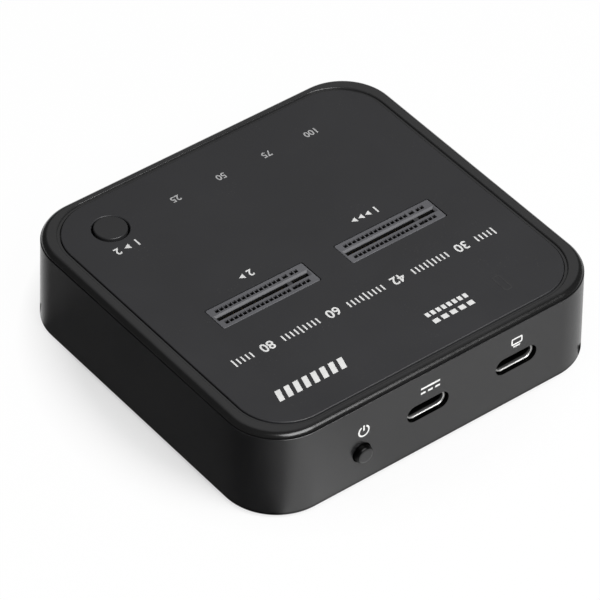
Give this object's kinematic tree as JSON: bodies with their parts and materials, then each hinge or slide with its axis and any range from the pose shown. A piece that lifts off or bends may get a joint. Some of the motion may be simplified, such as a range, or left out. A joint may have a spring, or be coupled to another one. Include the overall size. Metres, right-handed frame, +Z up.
{
  "type": "solid-state drive docking station",
  "caption": "Low rounded-square desktop docking station: upright drive slots in a grooved top panel, a copy button, and ports with a power button in its rear wall.",
  "frame": {"origin": "middle of the footprint, on the surface that the rubber feet stand on", "axes": "+Z up; +X to the right of someone who reads the top face; +Y to the rear wall with the ports"},
  "size_m": [0.08, 0.0773, 0.0201],
  "materials": {
    "case_plastic": "black moulded plastic with a fine satin grain",
    "panel_plastic": "flat satin black panel",
    "button_plastic": "satin black",
    "foot_rubber": "matt black rubber",
    "screw_steel": "black plated steel",
    "board_laminate": "green lacquered glass-fibre board",
    "chip_resin": "matt black moulding resin",
    "capacitor_ceramic": "fired ceramic, tan",
    "can_aluminium": "bare aluminium can",
    "tinned_metal": "tin-plated metal",
    "spring_steel": "bright spring steel",
    "port_steel": "nickel-plated steel",
    "gold_contact": "gold-plated contacts",
    "socket_plastic": "grey high-temperature plastic",
    "insulator_plastic": "black moulded plastic",
    "switch_plastic": "black moulded plastic",
    "clear_guide": "clear moulded plastic",
    "lamp_resin": "diffusing lamp resin"
  },
  "bodies": {
    "case": {"board_screws": "screw_steel", "bottom_cover": "case_plastic", "can_capacitors": "can_aluminium", "case_screws": "screw_steel", "ceramic_capacitors": "capacitor_ceramic", "chip_resistors": "chip_resin", "controller_chip": "chip_resin", "controller_leads": "tinned_metal", "copy_switch_base": "switch_plastic", "copy_switch_cover": "tinned_metal", "copy_switch_dome": "spring_steel", "copy_switch_legs": "tinned_metal", "crystals": "tinned_metal", "data_port_contacts": "gold_contact", "data_port_insulator": "insulator_plastic", "data_port_shell": "port_steel", "main_board": "board_laminate", "memory_chip": "chip_resin", "power_inductors": "chip_resin", "power_inlet_contacts": "gold_contact", "power_inlet_insulator": "insulator_plastic", "power_inlet_shell": "port_steel", "power_switch_body": "switch_plastic", "power_switch_pins": "tinned_metal", "power_switch_spring": "spring_steel", "progress_lamp_100": "lamp_resin", "progress_lamp_25": "lamp_resin", "progress_lamp_50": "lamp_resin", "progress_lamp_75": "lamp_resin", "progress_light_guide": "clear_guide", "rubber_foot_front_left": "foot_rubber", "rubber_foot_front_right": "foot_rubber", "rubber_foot_rear_left": "foot_rubber", "rubber_foot_rear_right": "foot_rubber", "side_housing": "case_plastic", "source_bridge_chip": "chip_resin", "source_slot_contacts": "gold_contact", "source_slot_hold_downs": "tinned_metal", "source_slot_socket": "socket_plastic", "status_lamp": "lamp_resin", "status_light_guide": "clear_guide", "target_bridge_chip": "chip_resin", "target_slot_contacts": "gold_contact", "target_slot_hold_downs": "tinned_metal", "target_slot_socket": "socket_plastic", "top_cover": "case_plastic", "top_panel": "panel_plastic", "voltage_regulators": "chip_resin"},
    "copy_button": {"copy_button_cap": "button_plastic", "copy_switch_plunger": "switch_plastic"},
    "power_button": {"power_button_cap": "button_plastic", "power_switch_slider": "switch_plastic"}
  },
  "joints": [
    {"name": "copy_button_press", "type": "slide", "parent": "case", "child": "copy_button", "axis": [0, 0, -1], "range_m": [0, 0.00025], "stiffness_N_per_m": 1500, "springref_m": -0.0004, "deforming": ["copy_switch_dome"]},
    {"name": "power_button_press", "type": "slide", "parent": "case", "child": "power_button", "axis": [0, -1, 0], "range_m": [0, 0.0012], "stiffness_N_per_m": 500, "springref_m": -0.0015, "deforming": ["power_switch_spring"]}
  ]
}
